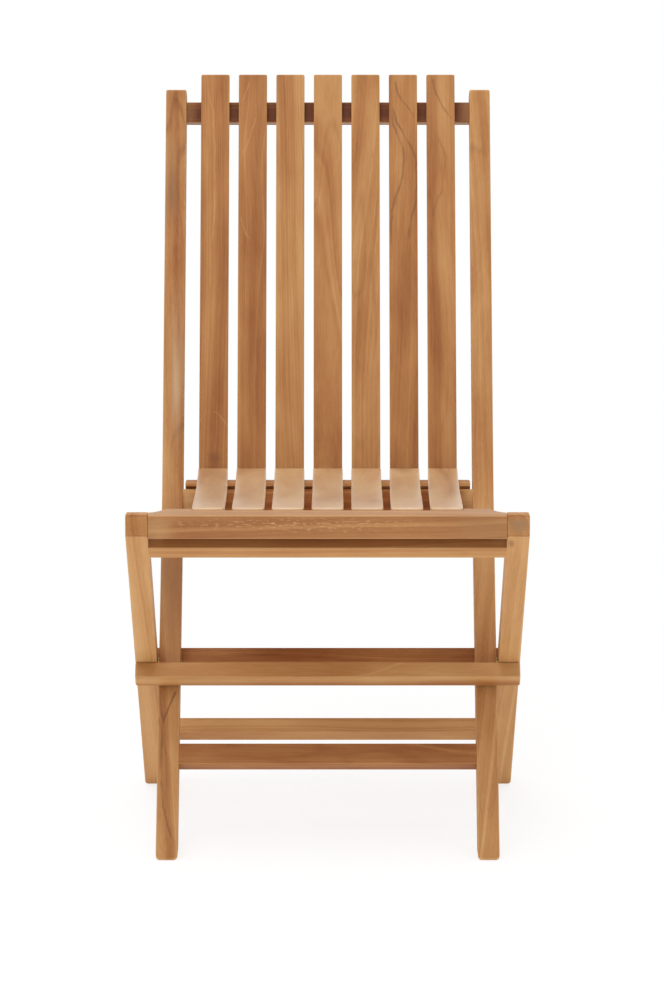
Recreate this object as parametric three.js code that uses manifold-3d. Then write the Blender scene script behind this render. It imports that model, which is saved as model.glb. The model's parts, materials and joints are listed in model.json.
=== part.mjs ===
// A folding chair of solid teak without armrests, standing open.
// Millimetres, +X across, +Y to the back, +Z up.
// Two bent stiles are the front legs and the back posts in one. The rear legs cross them on two bolts.
// The seat's front rail turns on pins in the tops of the rear legs, and its rear batten drops into a step
// in the rail between the stiles. Outlines are drawn in the side view, as [y, z] points.
import * as THREE from "three";
import { mergeVertices } from "three/addons/utils/BufferGeometryUtils.js";
import Module from "manifold-3d";

const wasm = await Module();
wasm.setup();

// Sizes that several pieces share
const chairWidth = 470; // over the rear legs
const fit = 0.3; // gap between pieces that touch
const overrun = 5; // how far a cut runs past the wood
const arris = 2; // rounding of the sawn edges
const arrisSteps = 2;
const roundSides = 16;
const screwSides = 8;

// Stiles: bent at the elbow, just under the seat
const stileWidth = 26;
const stileDepth = 30;
const stileLean = THREE.MathUtils.degToRad(34.7);
const postLean = THREE.MathUtils.degToRad(25.1);
const elbowAlong = 486; // from the floor, along the front face
const stileTopDrop = 18; // below the tops of the back slats
const elbowRadius = 70;
const elbowSteps = 5;
const footRadius = 3;

// Rear legs, on the outside of the stiles
const legWidth = 26;
const legDepth = 30;
const legTilt = THREE.MathUtils.degToRad(46.63);
const legGap = 2; // between a rear leg and a stile, filled by a washer
const pivotAlong = 257.8; // from the floor, along the stile's front face

// Seat
const seatFrontHeight = 443.5; // top of the front rail and of the leg tops
const frontRailTall = 28.5;
const legNoseDrop = 25; // from the leg tops down to where their faces turn
const frontRailDeep = 38.8;
const frontRailArris = 3;
const reliefSweep = 19.7; // of the curve at each end of the front rail's rear edge, along the rail
const railEndGap = 0.5; // between the front rail's ends and the leg tops
const hingeSetback = 17.3; // behind the front rail's face
const hingeDrop = 13; // below its top
const slatCount = 7;
const slatGap = 12; // between the slats, in the back and at the seat's rear end
const slatEdgeGap = 19; // between the outermost back slats and the stiles
const seatSlatExtra = 1.2; // by which a seat slat is wider than a back slat
const seatSlatThick = 11.5;
const seatSlatProud = 3; // above the front rail
const seatFall = 23.8; // from the slats' front ends to their rear ends
const seatDip = 7.5; // at its deepest, two thirds of the way back
const seatSteps = 10;
const seatDrawIn = 4.5; // of the outermost seat slats, from the rear to the front
const rebateDeep = 11.5;
const rebateGap = 0.6;
const rebateMargin = 4; // of the rebate's ends, past the outermost back slats
const seatEndGap = 6; // between the seat slats and the back slats
const battenDeep = 10.7;
const battenGap = 0.8; // between the batten and the step it drops into, each side
const battenEndGap = 3; // between the batten's ends and the stiles
const hookSetback = 0.5; // of the batten's hook, behind the seat rail's front edge
const hookRise = 3.2; // of the hook's underside, above that edge

// Back panel: rails and slats, a little steeper than the posts
const backLean = THREE.MathUtils.degToRad(22.35);
const backSlatThick = 11;
const backSlatLength = 583.6;
const seatRailDeep = 23;
const seatRailTall = 40;
const seatRailDrop = 21.4; // of its front edge, below the seat slats' rear ends
const seatRailSetback = 0.5; // behind the front face of the stiles
const slatEndRise = 2; // of the slats' lower ends above the seat rail's bottom
const lipThick = 7;
const stepDrop = 11.3; // of the step that the batten drops into, below the front edge
const topRailDeep = 16;
const topRailTall = 26;
const topRailDrop = 46.6; // its centre below the tops of the slats

// Other rails
const stretcherDeep = 22;
const stretcherTall = 26.5;
const stretcherAlong = 137.8; // centre of the front stretcher, along the stiles
const crossRailDeep = 21; // the rails on the faces of the rear legs
const crossRailTall = 22;
const underRailDeep = 20.5; // the rail under the seat, between the rear legs
const underRailClear = 22.8; // from the seat's hinge
const stopGap = 0.5; // between the stop rails and the stiles
const rearStopSlack = 5;
const rearStretcherAlong = 71.9; // centre of the rear stretcher, along the rear legs
const tenonLength = 15;
const shoulder = 4.5;
const stubDepth = 9;
const stubSize = 12;

// Fasteners
const boltRadius = 4;
const boltHeadRadius = 8;
const boltHeadTall = 4.2;
const boltDome = 1.6;
const boltSink = 5;
const nutRadius = 8;
const nutTall = 6;
const nutFloor = 1.5;
const washerRadius = 10;
const washerThick = 1.4;
const hingePinRadius = 4.5;
const hingePinReach = 17; // into the front rail
const hingePinSink = 0.8;
const screwRadius = 1.9;
const screwHeadRadius = 3.6;
const screwHeadTall = 2.6;
const screwSink = 0.5;
const backScrewBite = 7; // into the second piece of wood
const seatScrewBite = 8;

const teak = new THREE.MeshStandardMaterial({ color: 0xc09060, roughness: 0.62, metalness: 0 });
const brass = new THREE.MeshStandardMaterial({ color: 0xb8924a, roughness: 0.38, metalness: 1 });

// Places that follow from the sizes
const stileInner = chairWidth / 2 - legWidth - legGap - stileWidth;
const stileOuter = stileInner + stileWidth;
const legInner = stileOuter + legGap;
const panelHalf = stileInner - slatEdgeGap;
const slatPitch = (2 * panelHalf + slatGap) / slatCount;
const backSlatWidth = slatPitch - slatGap;
const seatRearHeight = seatFrontHeight + seatSlatProud - seatFall;
const seatRailTop = seatRearHeight - seatRailDrop;
const stepHeight = seatRailTop - stepDrop;

const side = (y, z) => new THREE.Vector2(y, z);

// A straight member in the side view. at() gives a point by its distance along the member and its depth
// behind the front face.
function member(origin, lean) {
  const up = side(Math.sin(lean), Math.cos(lean));
  const back = side(Math.cos(lean), -Math.sin(lean));
  const at = (along, depth = 0) => origin.clone().addScaledVector(up, along).addScaledVector(back, depth);
  return { at, up, lean, origin };
}

// The point of a member at a depth behind its front and a height above the floor.
function atHeight(line, depth, z) {
  const start = line.at(0, depth);
  return line.at((z - start.y) / line.up.y, depth);
}

// Where two members cross, each at its own depth.
function crossing(a, aDepth, b, bDepth) {
  const p = a.at(0, aDepth);
  const q = b.at(0, bDepth);
  const turn = a.up.cross(b.up);
  return a.at(q.clone().sub(p).cross(b.up) / turn, aDepth);
}

const stile = member(side(0, 0), stileLean);
const elbow = stile.at(elbowAlong);
const post = member(elbow, postLean);

const pivot = stile.at(pivotAlong, stileDepth / 2);
const pivotOnLeg = atHeight(member(side(0, 0), -legTilt), legDepth / 2, pivot.y);
const leg = member(pivot.clone().sub(pivotOnLeg), -legTilt);

const nose = atHeight(leg, 0, seatFrontHeight - legNoseDrop); // where the leg's face turns upright
const hinge = side(nose.x + hingeSetback, seatFrontHeight - hingeDrop);

const seatRailFront = atHeight(post, seatRailSetback, seatRailTop);
const backAxes = member(seatRailFront, backLean);
const panel = member(backAxes.at(slatEndRise - seatRailTall, seatRailDeep + fit), backLean);
const stileTop = panel.at(backSlatLength).y - stileTopDrop;
const postLength = (stileTop - elbow.y) / post.up.y;

// A closed outline through the given corners, each rounded with its own radius.
function outline(corners, steps = arrisSteps) {
  const points = corners.flatMap(([p, radius], i) => {
    if (!radius) return [p];
    const before = corners.at(i - 1)[0].clone().sub(p).normalize();
    const after = corners[(i + 1) % corners.length][0].clone().sub(p).normalize();
    const half = before.angleTo(after) / 2;
    const inward = before.clone().add(after).normalize();
    const centre = p.clone().addScaledVector(inward, radius / Math.sin(half));
    const start = before.multiplyScalar(radius / Math.tan(half)).add(p).sub(centre);
    const end = after.multiplyScalar(radius / Math.tan(half)).add(p).sub(centre);
    const sweep = Math.atan2(start.cross(end), start.dot(end));
    return Array.from({ length: steps + 1 }, (_, k) =>
      start.clone().rotateAround(side(0, 0), (sweep * k) / steps).add(centre),
    );
  });
  return new THREE.Shape(points);
}

// Turns an extrusion's own axes so that its outline lies in the side view and its length across the chair.
const acrossChair = new THREE.Matrix4().makeBasis(
  new THREE.Vector3(0, 1, 0),
  new THREE.Vector3(0, 0, 1),
  new THREE.Vector3(1, 0, 0),
);

// A board sawn to a side-view outline, centred on x = 0, with eased edges on both faces.
function board(shape, width, ease = arris) {
  const geometry = new THREE.ExtrudeGeometry(shape, {
    depth: width - 2 * ease,
    bevelEnabled: ease > 0,
    bevelThickness: ease,
    bevelSize: ease,
    bevelOffset: -ease,
    bevelSegments: arrisSteps,
    curveSegments: arrisSteps,
  });
  return geometry.translate(0, 0, ease - width / 2).applyMatrix4(acrossChair);
}

const rectangle = (deep, tall, radius = arris) =>
  outline([
    [side(-deep / 2, -tall / 2), radius],
    [side(deep / 2, -tall / 2), radius],
    [side(deep / 2, tall / 2), radius],
    [side(-deep / 2, tall / 2), radius],
  ]);

function solid(geometry, matrix = new THREE.Matrix4()) {
  const bare = geometry.clone().applyMatrix4(matrix);
  bare.deleteAttribute("normal");
  bare.deleteAttribute("uv");
  const merged = mergeVertices(bare);
  return new wasm.Manifold(
    new wasm.Mesh({
      numProp: merged.attributes.position.itemSize,
      vertProperties: merged.attributes.position.array,
      triVerts: new Uint32Array(merged.index.array),
    }),
  );
}

function mesh(name, made, material = teak) {
  const { vertProperties, triVerts, numProp } = made.getMesh();
  const geometry = new THREE.BufferGeometry();
  geometry.setAttribute("position", new THREE.BufferAttribute(vertProperties, numProp));
  geometry.setIndex(new THREE.BufferAttribute(triVerts, 1));
  geometry.computeVertexNormals();
  const piece = new THREE.Mesh(geometry, material);
  piece.name = name;
  return piece;
}

// The matrix that puts a piece at a side-view point, leaning back by an angle, x to the side.
function placed(point, lean, x = 0) {
  return new THREE.Matrix4().makeRotationX(-lean).setPosition(x, point.x, point.y);
}

function placeMesh(piece, matrix) {
  matrix.decompose(piece.position, piece.quaternion, piece.scale);
  return piece;
}

// A rail between two uprights with a tenon at each end: its body in its own axes, the matrix that places it
// and the cutter for its two mortises.
function tenonedRail(deep, tall, halfSpan, at) {
  const tongue = [2 * (halfSpan + tenonLength), deep - 2 * shoulder, tall - 2 * shoulder];
  const bar = solid(board(rectangle(deep, tall), 2 * (halfSpan - fit), 0));
  const socket = new THREE.BoxGeometry(...tongue.map((size) => size + 2 * fit));
  return { body: bar.add(solid(new THREE.BoxGeometry(...tongue))), at, mortises: [solid(socket, at)] };
}

// A rail laid on the faces of the rear legs, with a stub tenon into each. facing is 1 for the back faces
// of the legs and -1 for the front ones.
function faceRail(along, facing) {
  const face = facing > 0 ? legDepth + fit + crossRailDeep / 2 : -fit - crossRailDeep / 2;
  const at = placed(leg.at(along, face), leg.lean);
  let body = solid(board(rectangle(crossRailDeep, crossRailTall), chairWidth));
  const mortises = [];
  for (const hand of [-1, 1]) {
    const x = hand * (legInner + legWidth / 2);
    const y = (-facing * (crossRailDeep + stubDepth + fit)) / 2;
    const stub = new THREE.BoxGeometry(stubSize, stubDepth + fit + arris, stubSize);
    body = body.add(solid(stub.translate(x, y, 0)));
    const socket = new THREE.BoxGeometry(stubSize + 2 * fit, stubDepth + 2 * arris, stubSize + 2 * fit);
    mortises.push(solid(socket.translate(x, y, 0), at));
  }
  return { body, at, mortises };
}

const railMesh = (name, { body, at }) => placeMesh(mesh(name, body), at);

// A turned solid about the x axis from [radius, x] points, at a side-view point.
function turned(profile, point) {
  const lathe = new THREE.LatheGeometry(profile.map(([r, x]) => side(r, x)), roundSides);
  return lathe.rotateZ(-Math.PI / 2).translate(0, point.x, point.y);
}

// A plain cutter or pin about the x axis between two places across the chair.
function rod(radius, one, other, point) {
  const [from, to] = [Math.min(one, other), Math.max(one, other)];
  return turned([[0, from], [radius, from], [radius, to], [0, to]], point);
}

// A countersunk screw along its own +Y: the tip at y = 0 and the head's top at y = length.
// grow widens it to the shape of its hole.
function screwShape(length, grow = 0) {
  const neck = length - screwHeadTall;
  const points = [
    side(0, -grow),
    side(screwRadius + grow, -grow),
    side(screwRadius + grow, neck - grow),
    side(screwHeadRadius + grow, length - grow),
  ];
  if (grow) points.push(side(screwHeadRadius + grow, length + screwSink + overrun));
  points.push(side(0, points.at(-1).y));
  return new THREE.LatheGeometry(points, screwSides);
}

const handNames = { [-1]: "left", 1: "right" };
const slatPlaces = Array.from({ length: slatCount }, (_, i) => i - (slatCount - 1) / 2);

// Back panel: the seat rail, the top rail and the slats screwed to them
const stepBack = atHeight(panel, -fit, stepHeight);
const lipBack = backAxes.at(0, lipThick);
const seatRailShape = outline([
  [lipBack, arris],
  [side(lipBack.x, stepHeight), 0],
  [stepBack, 0],
  [backAxes.at(-seatRailTall, seatRailDeep), arris],
  [backAxes.at(-seatRailTall), arris],
  [backAxes.at(0), arris],
]);
const seatRailCentre = placed(backAxes.at(-seatRailTall / 2, seatRailDeep / 2), backLean);
const seatTongue = [
  2 * (stileInner + tenonLength), seatRailDeep - 2 * shoulder, seatRailTall - 2 * (shoulder + lipThick),
];
let seatRail = solid(board(seatRailShape, 2 * (stileInner - fit), 0)).add(
  solid(new THREE.BoxGeometry(...seatTongue).translate(0, 0, -lipThick), seatRailCentre),
);
const seatSocket = new THREE.BoxGeometry(...seatTongue.map((size) => size + 2 * fit));
const seatMortise = solid(seatSocket.translate(0, 0, -lipThick), seatRailCentre);

const topRailAlong = backSlatLength - topRailDrop;
const topRailAt = placed(panel.at(topRailAlong, backSlatThick + fit + topRailDeep / 2), backLean);
const topRail = tenonedRail(topRailDeep, topRailTall, stileInner, topRailAt);

const stretcherAt = placed(stile.at(stretcherAlong, stretcherDeep / 2 + seatRailSetback), stileLean);
const frontStretcher = tenonedRail(stretcherDeep, stretcherTall, stileInner, stretcherAt);

const frontFrame = new THREE.Group();
const panelAt = placed(panel.origin, panel.lean);
const backPanel = placeMesh(new THREE.Group(), panelAt);
frontFrame.add(backPanel);

// The slats' axes: x across, y through their thickness and z up their length, from their front faces'
// lower ends.
const slatBlank = new THREE.ExtrudeGeometry(rectangle(backSlatWidth, backSlatThick), {
  depth: backSlatLength - 2 * arris,
  bevelThickness: arris,
  bevelSize: arris,
  bevelOffset: -arris,
  bevelSegments: arrisSteps,
}).translate(0, backSlatThick / 2, arris);

const lowScrewAlong = (seatRailTall - slatEndRise - stepDrop) / 2;
const lowScrewLength = backSlatThick + fit + backScrewBite - screwSink;
const highScrewLength = topRailDeep + fit + backScrewBite - screwSink;
const lowScrewTip = side(backSlatThick - screwSink - lowScrewLength, lowScrewAlong);
const highScrewTip = side(backSlatThick + fit + topRailDeep - screwSink - highScrewLength, topRailAlong);
const inTopRail = topRailAt.clone().invert().multiply(panelAt);

slatPlaces.forEach((place, i) => {
  const x = place * slatPitch;
  const lowAt = new THREE.Matrix4().makeTranslation(x, lowScrewTip.x, lowScrewTip.y);
  const highAt = new THREE.Matrix4().makeTranslation(x, highScrewTip.x, highScrewTip.y);
  const lowHole = screwShape(lowScrewLength, fit);
  const highHole = screwShape(highScrewLength, fit);
  const slat = solid(slatBlank.clone().translate(x, 0, 0))
    .subtract(solid(lowHole, lowAt))
    .subtract(solid(highHole, highAt));
  seatRail = seatRail.subtract(solid(lowHole, panelAt.clone().multiply(lowAt)));
  topRail.body = topRail.body.subtract(solid(highHole, inTopRail.clone().multiply(highAt)));
  backPanel.add(mesh(`back_slat_${i + 1}`, slat));
  const lowScrew = mesh(`back_screw_low_${i + 1}`, solid(screwShape(lowScrewLength)), brass);
  const highScrew = mesh(`back_screw_high_${i + 1}`, solid(screwShape(highScrewLength)), brass);
  backPanel.add(placeMesh(lowScrew, lowAt), placeMesh(highScrew, highAt));
});
frontFrame.add(mesh("seat_rail", seatRail));
frontFrame.add(railMesh("top_rail", topRail), railMesh("front_stretcher", frontStretcher));

// Stiles, with their mortises and bolt holes
const stileBack = crossing(stile, stileDepth, post, stileDepth);
const stileShape = outline([
  [stile.at(0), footRadius],
  [atHeight(stile, stileDepth, 0), footRadius],
  [stileBack, elbowRadius],
  [post.at(postLength, stileDepth), footRadius],
  [post.at(postLength), footRadius],
  [elbow, elbowRadius],
], elbowSteps);
const stileMortises = [seatMortise, ...topRail.mortises, ...frontStretcher.mortises];
const nutSeat = stileInner + nutTall + fit;
for (const hand of [-1, 1]) {
  const middle = hand * (stileInner + stileWidth / 2);
  const inside = hand * (stileInner - overrun);
  let blank = solid(board(stileShape, stileWidth).translate(middle, 0, 0));
  for (const mortise of stileMortises) blank = blank.subtract(mortise);
  blank = blank
    .subtract(solid(rod(boltRadius + fit, inside, hand * (stileOuter + overrun), pivot)))
    .subtract(solid(rod(nutRadius + fit, inside, hand * nutSeat, pivot)));
  frontFrame.add(mesh(`stile_${handNames[hand]}`, blank));
}

// Pivot bolts: the head lies in the rear leg, the nut in the inner face of the stile
const boltOuter = chairWidth / 2 - boltSink + boltHeadTall;
const boltSeat = chairWidth / 2 - boltSink;
const boltEnd = stileInner + nutFloor + fit;
for (const hand of [-1, 1]) {
  const flip = (profile) => (hand > 0 ? profile : profile.map(([r, x]) => [r, -x]).reverse());
  const bolt = turned(flip([
    [0, boltEnd],
    [boltRadius, boltEnd],
    [boltRadius, boltSeat],
    [boltHeadRadius, boltSeat],
    [boltHeadRadius, boltOuter - boltDome],
    [boltHeadRadius / Math.SQRT2, boltOuter - boltDome / (2 * Math.SQRT2)],
    [0, boltOuter],
  ]), pivot);
  frontFrame.add(mesh(`pivot_bolt_${handNames[hand]}`, solid(bolt), brass));
  const nutBore = rod(boltRadius + fit, hand * (stileInner + nutFloor), hand * (nutSeat + overrun), pivot);
  const nut = solid(rod(nutRadius, hand * stileInner, hand * (stileInner + nutTall), pivot));
  frontFrame.add(mesh(`pivot_nut_${handNames[hand]}`, nut.subtract(solid(nutBore)), brass));
  const washerFrom = hand * (stileOuter + (legGap - washerThick) / 2);
  const washerBore = rod(boltRadius + fit, hand * stileOuter, hand * legInner, pivot);
  const washer = solid(rod(washerRadius, washerFrom, washerFrom + hand * washerThick, pivot));
  frontFrame.add(mesh(`pivot_washer_${handNames[hand]}`, washer.subtract(solid(washerBore)), brass));
}

// Rear frame: two legs and the four rails on them
const rearFrame = new THREE.Group();
rearFrame.position.set(0, pivot.x, pivot.y);
rearFrame.updateMatrixWorld();

// How far along the legs the edges of the stop rails meet the stiles' front and back faces
const alongLeg = (point) => point.clone().sub(leg.origin).dot(leg.up);
const frontStopFoot = crossing(stile, -stopGap, leg, -fit);
const frontStopAlong = alongLeg(frontStopFoot) + crossRailTall / 2;
const rearStopFoot = crossing(stile, stileDepth + stopGap, leg, legDepth + fit);
const rearStopAlong = alongLeg(rearStopFoot) - rearStopSlack - crossRailTall / 2;
const underRailAlong = alongLeg(hinge) - underRailClear - crossRailTall / 2;
const underRailAt = placed(leg.at(underRailAlong, underRailDeep / 2), leg.lean);

const rearRails = {
  front_stop_rail: faceRail(frontStopAlong, -1),
  rear_stop_rail: faceRail(rearStopAlong, 1),
  rear_stretcher: faceRail(rearStretcherAlong, 1),
  under_rail: tenonedRail(underRailDeep, crossRailTall, legInner, underRailAt),
};
for (const [name, rail] of Object.entries(rearRails)) rearFrame.attach(railMesh(name, rail));
const legMortises = Object.values(rearRails).flatMap((rail) => rail.mortises);

const legTopBack = atHeight(leg, legDepth, seatFrontHeight);
const legShape = outline([
  [leg.origin, footRadius],
  [atHeight(leg, legDepth, 0), footRadius],
  [legTopBack, arris],
  [side(nose.x, seatFrontHeight), frontRailArris],
  [nose, arris],
]);
for (const hand of [-1, 1]) {
  const middle = hand * (legInner + legWidth / 2);
  let blank = solid(board(legShape, legWidth).translate(middle, 0, 0));
  for (const mortise of legMortises) blank = blank.subtract(mortise);
  const inside = hand * (legInner - overrun);
  const outside = hand * (chairWidth / 2 + overrun);
  blank = blank
    .subtract(solid(rod(boltRadius + fit, inside, outside, pivot)))
    .subtract(solid(rod(boltHeadRadius + fit, hand * (boltSeat - fit), outside, pivot)))
    .subtract(solid(rod(hingePinRadius + fit, inside, outside, hinge)));
  rearFrame.attach(mesh(`rear_leg_${handNames[hand]}`, blank));
  const pinInner = hand * (legInner - railEndGap - hingePinReach);
  const pin = solid(rod(hingePinRadius, pinInner, hand * (chairWidth / 2 - hingePinSink), hinge));
  rearFrame.attach(mesh(`seat_pin_${handNames[hand]}`, pin, brass));
}

// Seat: the front rail, seven dished slats and the rear batten
const seat = new THREE.Group();
seat.position.set(0, hinge.x, hinge.y);
seat.updateMatrixWorld();

const railHalf = legInner - railEndGap;
const reliefAt = railHalf - reliefSweep;
const legTopDeep = legTopBack.x - nose.x;
const railPlan = new THREE.Shape();
railPlan.moveTo(-railHalf, 0);
railPlan.lineTo(railHalf, 0);
railPlan.lineTo(railHalf, legTopDeep);
railPlan.quadraticCurveTo(railHalf - reliefSweep / 2, legTopDeep, reliefAt, frontRailDeep);
railPlan.lineTo(-reliefAt, frontRailDeep);
railPlan.quadraticCurveTo(reliefSweep / 2 - railHalf, legTopDeep, -railHalf, legTopDeep);
const railBlank = new THREE.ExtrudeGeometry(railPlan, {
  depth: frontRailTall - 2 * frontRailArris,
  bevelThickness: frontRailArris,
  bevelSize: frontRailArris,
  bevelOffset: -frontRailArris,
  bevelSegments: arrisSteps,
  curveSegments: elbowSteps,
}).translate(0, nose.x, seatFrontHeight - frontRailTall + frontRailArris);

const slatFront = nose.x + frontRailDeep - rebateDeep + rebateGap;
const slatRear = atHeight(panel, 0, seatRearHeight).x - seatEndGap;
const slatRun = slatRear - slatFront;
const dip = (t) => t * t * (1 - t);
const slatTop = (t) =>
  THREE.MathUtils.lerp(seatFrontHeight + seatSlatProud, seatRearHeight, t) - (seatDip * dip(t)) / dip(2 / 3);
const underside = (y) => slatTop((y - slatFront) / slatRun) - seatSlatThick;
const rebateFloor = underside(nose.x + frontRailDeep) - fit;
const rebate = new THREE.BoxGeometry(2 * (panelHalf + rebateMargin), rebateDeep + overrun, frontRailTall);
rebate.translate(0, nose.x + frontRailDeep + (overrun - rebateDeep) / 2, rebateFloor + frontRailTall / 2);
let frontRail = solid(railBlank).subtract(solid(rebate));
for (const hand of [-1, 1]) {
  const holeEnds = [hand * (railHalf - hingePinReach - fit), hand * (railHalf + overrun)];
  frontRail = frontRail.subtract(solid(rod(hingePinRadius + fit, ...holeEnds, hinge)));
}
seat.attach(mesh("seat_front_rail", frontRail));

const battenFront = lipBack.x + battenGap;
const battenTop = Math.min(underside(battenFront), underside(battenFront + battenDeep)) - fit;
const hookFront = backAxes.origin.x + hookSetback;
const hookUnder = seatRailTop + hookRise;
const battenShape = outline([
  [side(battenFront, stepHeight + fit), arris],
  [side(battenFront + battenDeep, stepHeight + fit), arris],
  [side(battenFront + battenDeep, battenTop), arris],
  [side(hookFront, battenTop), arris],
  [side(hookFront, hookUnder), arris],
  [side(battenFront, hookUnder), 0],
]);
let batten = solid(board(battenShape, 2 * (stileInner - battenEndGap)));

// The slat's outline from its rear end, top edge towards the front and underside back again
const slatTimes = Array.from({ length: seatSteps + 1 }, (_, i) => 1 - i / seatSteps);
const topEdge = slatTimes.map((t) => side((t - 1) * slatRun, slatTop(t)));
const bottomEdge = slatTimes.toReversed().map((t) => side((t - 1) * slatRun, slatTop(t) - seatSlatThick));
const seatSlatBlank = board(new THREE.Shape([...topEdge, ...bottomEdge]), backSlatWidth + seatSlatExtra);
const seatScrewAlong = battenFront + battenDeep / 2;
const seatScrewLength = battenTop - stepHeight - fit - screwSink + seatScrewBite;
const seatScrewTip = stepHeight + fit + screwSink + seatScrewLength;
slatPlaces.forEach((place, i) => {
  const fan = -Math.atan((seatDrawIn * place) / slatPlaces.at(-1) / slatRun);
  const at = new THREE.Matrix4().makeRotationZ(fan).setPosition(place * slatPitch, slatRear, 0);
  const screwAt = new THREE.Matrix4().makeRotationX(-Math.PI / 2);
  screwAt.setPosition(place * slatPitch, seatScrewAlong, seatScrewTip);
  const hole = screwShape(seatScrewLength, fit);
  batten = batten.subtract(solid(hole, screwAt));
  const slat = solid(seatSlatBlank).subtract(solid(hole, at.clone().invert().multiply(screwAt)));
  seat.attach(placeMesh(mesh(`seat_slat_${i + 1}`, slat), at));
  seat.attach(placeMesh(mesh(`seat_screw_${i + 1}`, solid(screwShape(seatScrewLength)), brass), screwAt));
});
seat.attach(mesh("seat_rear_batten", batten));

// The whole chair, with y = 0 half way between its front and its back
const chair = new THREE.Group();
chair.add(frontFrame, rearFrame, seat);
chair.position.y = -new THREE.Box3().setFromObject(chair, true).getCenter(new THREE.Vector3()).y;

export default chair;
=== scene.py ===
import itertools
import json
import math

import bpy
import numpy as np
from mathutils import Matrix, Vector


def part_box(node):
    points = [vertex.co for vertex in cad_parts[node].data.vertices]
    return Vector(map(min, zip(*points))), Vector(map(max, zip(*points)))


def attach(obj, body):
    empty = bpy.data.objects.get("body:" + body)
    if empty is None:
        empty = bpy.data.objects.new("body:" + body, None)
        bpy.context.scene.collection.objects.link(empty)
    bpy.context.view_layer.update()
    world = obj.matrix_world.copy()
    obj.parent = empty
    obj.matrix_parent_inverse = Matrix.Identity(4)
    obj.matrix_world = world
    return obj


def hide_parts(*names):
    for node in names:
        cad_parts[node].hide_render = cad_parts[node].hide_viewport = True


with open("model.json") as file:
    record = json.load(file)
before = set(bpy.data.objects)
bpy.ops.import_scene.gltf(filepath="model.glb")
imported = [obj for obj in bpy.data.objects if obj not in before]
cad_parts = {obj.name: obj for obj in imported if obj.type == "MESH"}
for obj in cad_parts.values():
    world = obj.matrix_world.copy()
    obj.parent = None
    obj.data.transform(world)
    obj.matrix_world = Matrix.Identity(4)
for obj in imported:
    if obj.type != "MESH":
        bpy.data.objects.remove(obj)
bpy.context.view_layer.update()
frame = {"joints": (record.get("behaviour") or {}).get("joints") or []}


# Camera: a long lens before the chair, a little above the back's top, looking down at the whole of it.
# Its place and tilt are those at which the feet, the seat's front and the tops lie as photographed.
camera_lens_mm = 148.0
camera_place = (0.0052, -4.9785, 1.400)
camera_pitch = math.radians(11.366)
camera = bpy.data.objects.new("camera", bpy.data.cameras.new("camera"))
camera.data.lens = camera_lens_mm
camera.location = camera_place
camera.rotation_euler = (math.pi / 2 - camera_pitch, 0, 0)
bpy.context.scene.collection.objects.link(camera)
bpy.context.scene.camera = camera
bpy.context.scene.view_settings.view_transform = "Standard"


# Floor and light: a white studio floor, soft light that is strongest overhead, and a lamp above the front.
# The floor shows the camera its own white, and keeps a part of the chair's shadow close to the feet.
floor_half = 30.0
floor_white = 0.9
pure_white = (1, 1, 1, 1)
shadow_share = 0.3
floor_lift = 0.25
shadow_near, shadow_far = 0.45, 1.1
level_light, overhead_light = 0.15, 1.15
lamp_size = 1.6
lamp_place = (-0.5, -1.3, 3.0)
lamp_aim_height = 0.4
lamp_watts = 26.0

floor_mesh = bpy.data.meshes.new("floor")
floor_corners = [(x * floor_half, y * floor_half, 0) for x, y in ((-1, -1), (1, -1), (1, 1), (-1, 1))]
floor_mesh.from_pydata(floor_corners, [], [(0, 1, 2, 3)])
floor = bpy.data.objects.new("floor", floor_mesh)
bpy.context.scene.collection.objects.link(floor)


def feed(tree, socket, value):
    """Gives a shader socket a value, or links it to another socket or to a node's first output."""
    if isinstance(value, bpy.types.Node):
        value = value.outputs[0]
    if isinstance(value, bpy.types.NodeSocket):
        tree.links.new(value, socket)
    else:
        socket.default_value = value


def add_node(tree, kind, *values, **named):
    """Adds a shader node. Values go to its first sockets, named ones to settings or to sockets by name."""
    made = tree.nodes.new(kind)
    for name, value in named.items():
        socket = made.inputs.get(name.replace("_", " "))
        if socket is None or hasattr(made, name):
            setattr(made, name, value)
        else:
            feed(tree, socket, value)
    for socket, value in zip(made.inputs, values):
        feed(tree, socket, value)
    return made


def calc(tree, operation, *values, clamp=False):
    """Arithmetic on numbers and sockets."""
    return add_node(tree, "ShaderNodeMath", *values, operation=operation, use_clamp=clamp).outputs[0]


def spread(tree, value, start, end, low=0.0, high=1.0, shape="SMOOTHSTEP"):
    """A value between start and end, carried over to low and high in a smooth step or a straight line."""
    return add_node(
        tree, "ShaderNodeMapRange", value, start, end, low, high, interpolation_type=shape
    ).outputs[0]


def new_material(name):
    """A material without nodes, and its node tree."""
    material = bpy.data.materials.new(name)
    material.use_nodes = True
    material.node_tree.nodes.clear()
    return material, material.node_tree


floor_paint, tree = new_material("floor_paint")
matt = add_node(tree, "ShaderNodeBsdfDiffuse", Color=(floor_white, floor_white, floor_white, 1))
lift = add_node(tree, "ShaderNodeEmission", Color=pure_white, Strength=floor_lift)
glow = add_node(tree, "ShaderNodeEmission", Color=pure_white, Strength=1.0)
floor_spot = add_node(tree, "ShaderNodeTexCoord").outputs["Object"]
from_chair = add_node(tree, "ShaderNodeVectorMath", floor_spot, operation="LENGTH").outputs["Value"]
plain = spread(tree, from_chair, shadow_near, shadow_far, 1 - shadow_share)
seen = add_node(tree, "ShaderNodeLightPath").outputs["Is Camera Ray"]
lit_floor = add_node(tree, "ShaderNodeAddShader", matt, lift)
blend = add_node(tree, "ShaderNodeMixShader", calc(tree, "MULTIPLY", seen, plain), lit_floor, glow)
add_node(tree, "ShaderNodeOutputMaterial", Surface=blend)
floor_mesh.materials.append(floor_paint)

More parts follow.
